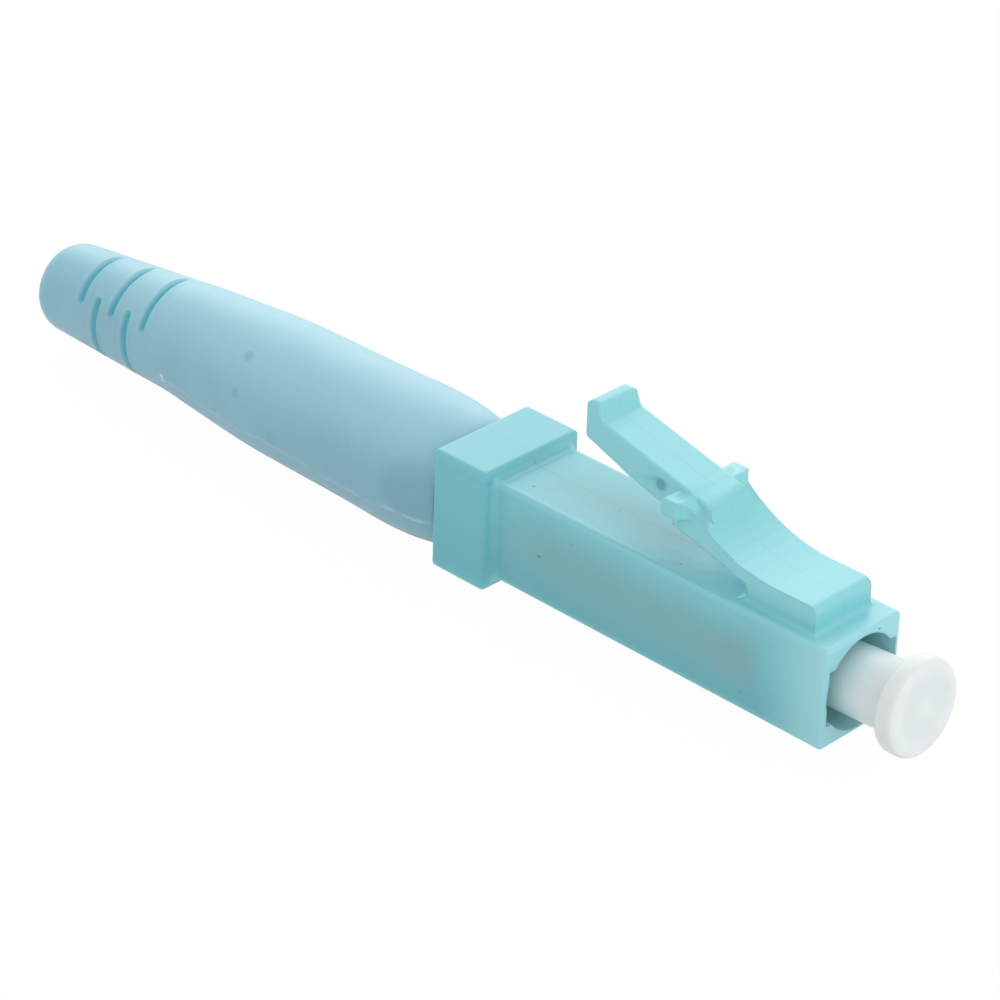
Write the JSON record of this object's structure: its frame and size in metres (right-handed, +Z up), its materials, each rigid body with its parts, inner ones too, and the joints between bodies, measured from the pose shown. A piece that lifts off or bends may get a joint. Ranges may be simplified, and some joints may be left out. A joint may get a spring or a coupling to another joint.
{
  "type": "fibre optic connector",
  "caption": "Latched fibre optic plug with a square body, a sprung thumb latch, a long soft tapering boot and a flanged dust cap pushed over its ferrule",
  "frame": {"origin": "on the plug body's axis, at the front face of the square collar", "axes": "+X forward along the plug towards the ferrule's tip, +Y to the left seen from behind, +Z up to the latch"},
  "size_m": [0.0509, 0.0064, 0.0106],
  "materials": {
    "aqua_plastic": "satin moulded, slightly translucent aqua",
    "aqua_soft": "soft satin elastomer, aqua",
    "cap_plastic": "milky soft plastic",
    "ceramic": "polished white ceramic",
    "turned_metal": "turned and plated",
    "spring_steel": "drawn wire",
    "clear_tube": "clear shrink tube",
    "fibre": "coated glass fibre"
  },
  "bodies": {
    "plug": {"housing": "aqua_plastic", "rear_body": "turned_metal", "crimp_sleeve": "turned_metal", "splice_sleeve": "clear_tube", "splice_melt_tube": "clear_tube", "splice_rod": "spring_steel", "boot": "aqua_soft"},
    "latch": {"latch_lever": "aqua_plastic"},
    "ferrule_unit": {"ferrule": "ceramic", "ferrule_flange": "turned_metal", "fibre_guide_tube": "clear_tube", "fibre_stub": "fibre", "spring": "spring_steel"},
    "cap": {"dust_cap": "cap_plastic"}
  },
  "joints": [
    {"name": "latch_hinge", "type": "hinge", "parent": "plug", "child": "latch", "pos_m": [0.0128, 0, 0.00314], "axis": [0, -1, 0], "range_deg": [0, 16], "stiffness_Nm_per_rad": 0.12},
    {"name": "ferrule_float", "type": "slide", "parent": "plug", "child": "ferrule_unit", "axis": [1, 0, 0], "range_m": [-0.0008, 0], "stiffness_N_per_m": 1200, "springref_m": 0.003, "deforming": ["spring"]},
    {"name": "dust_cap_slide", "type": "slide", "parent": "ferrule_unit", "child": "cap", "axis": [1, 0, 0], "range_m": [0, 0.01]}
  ]
}
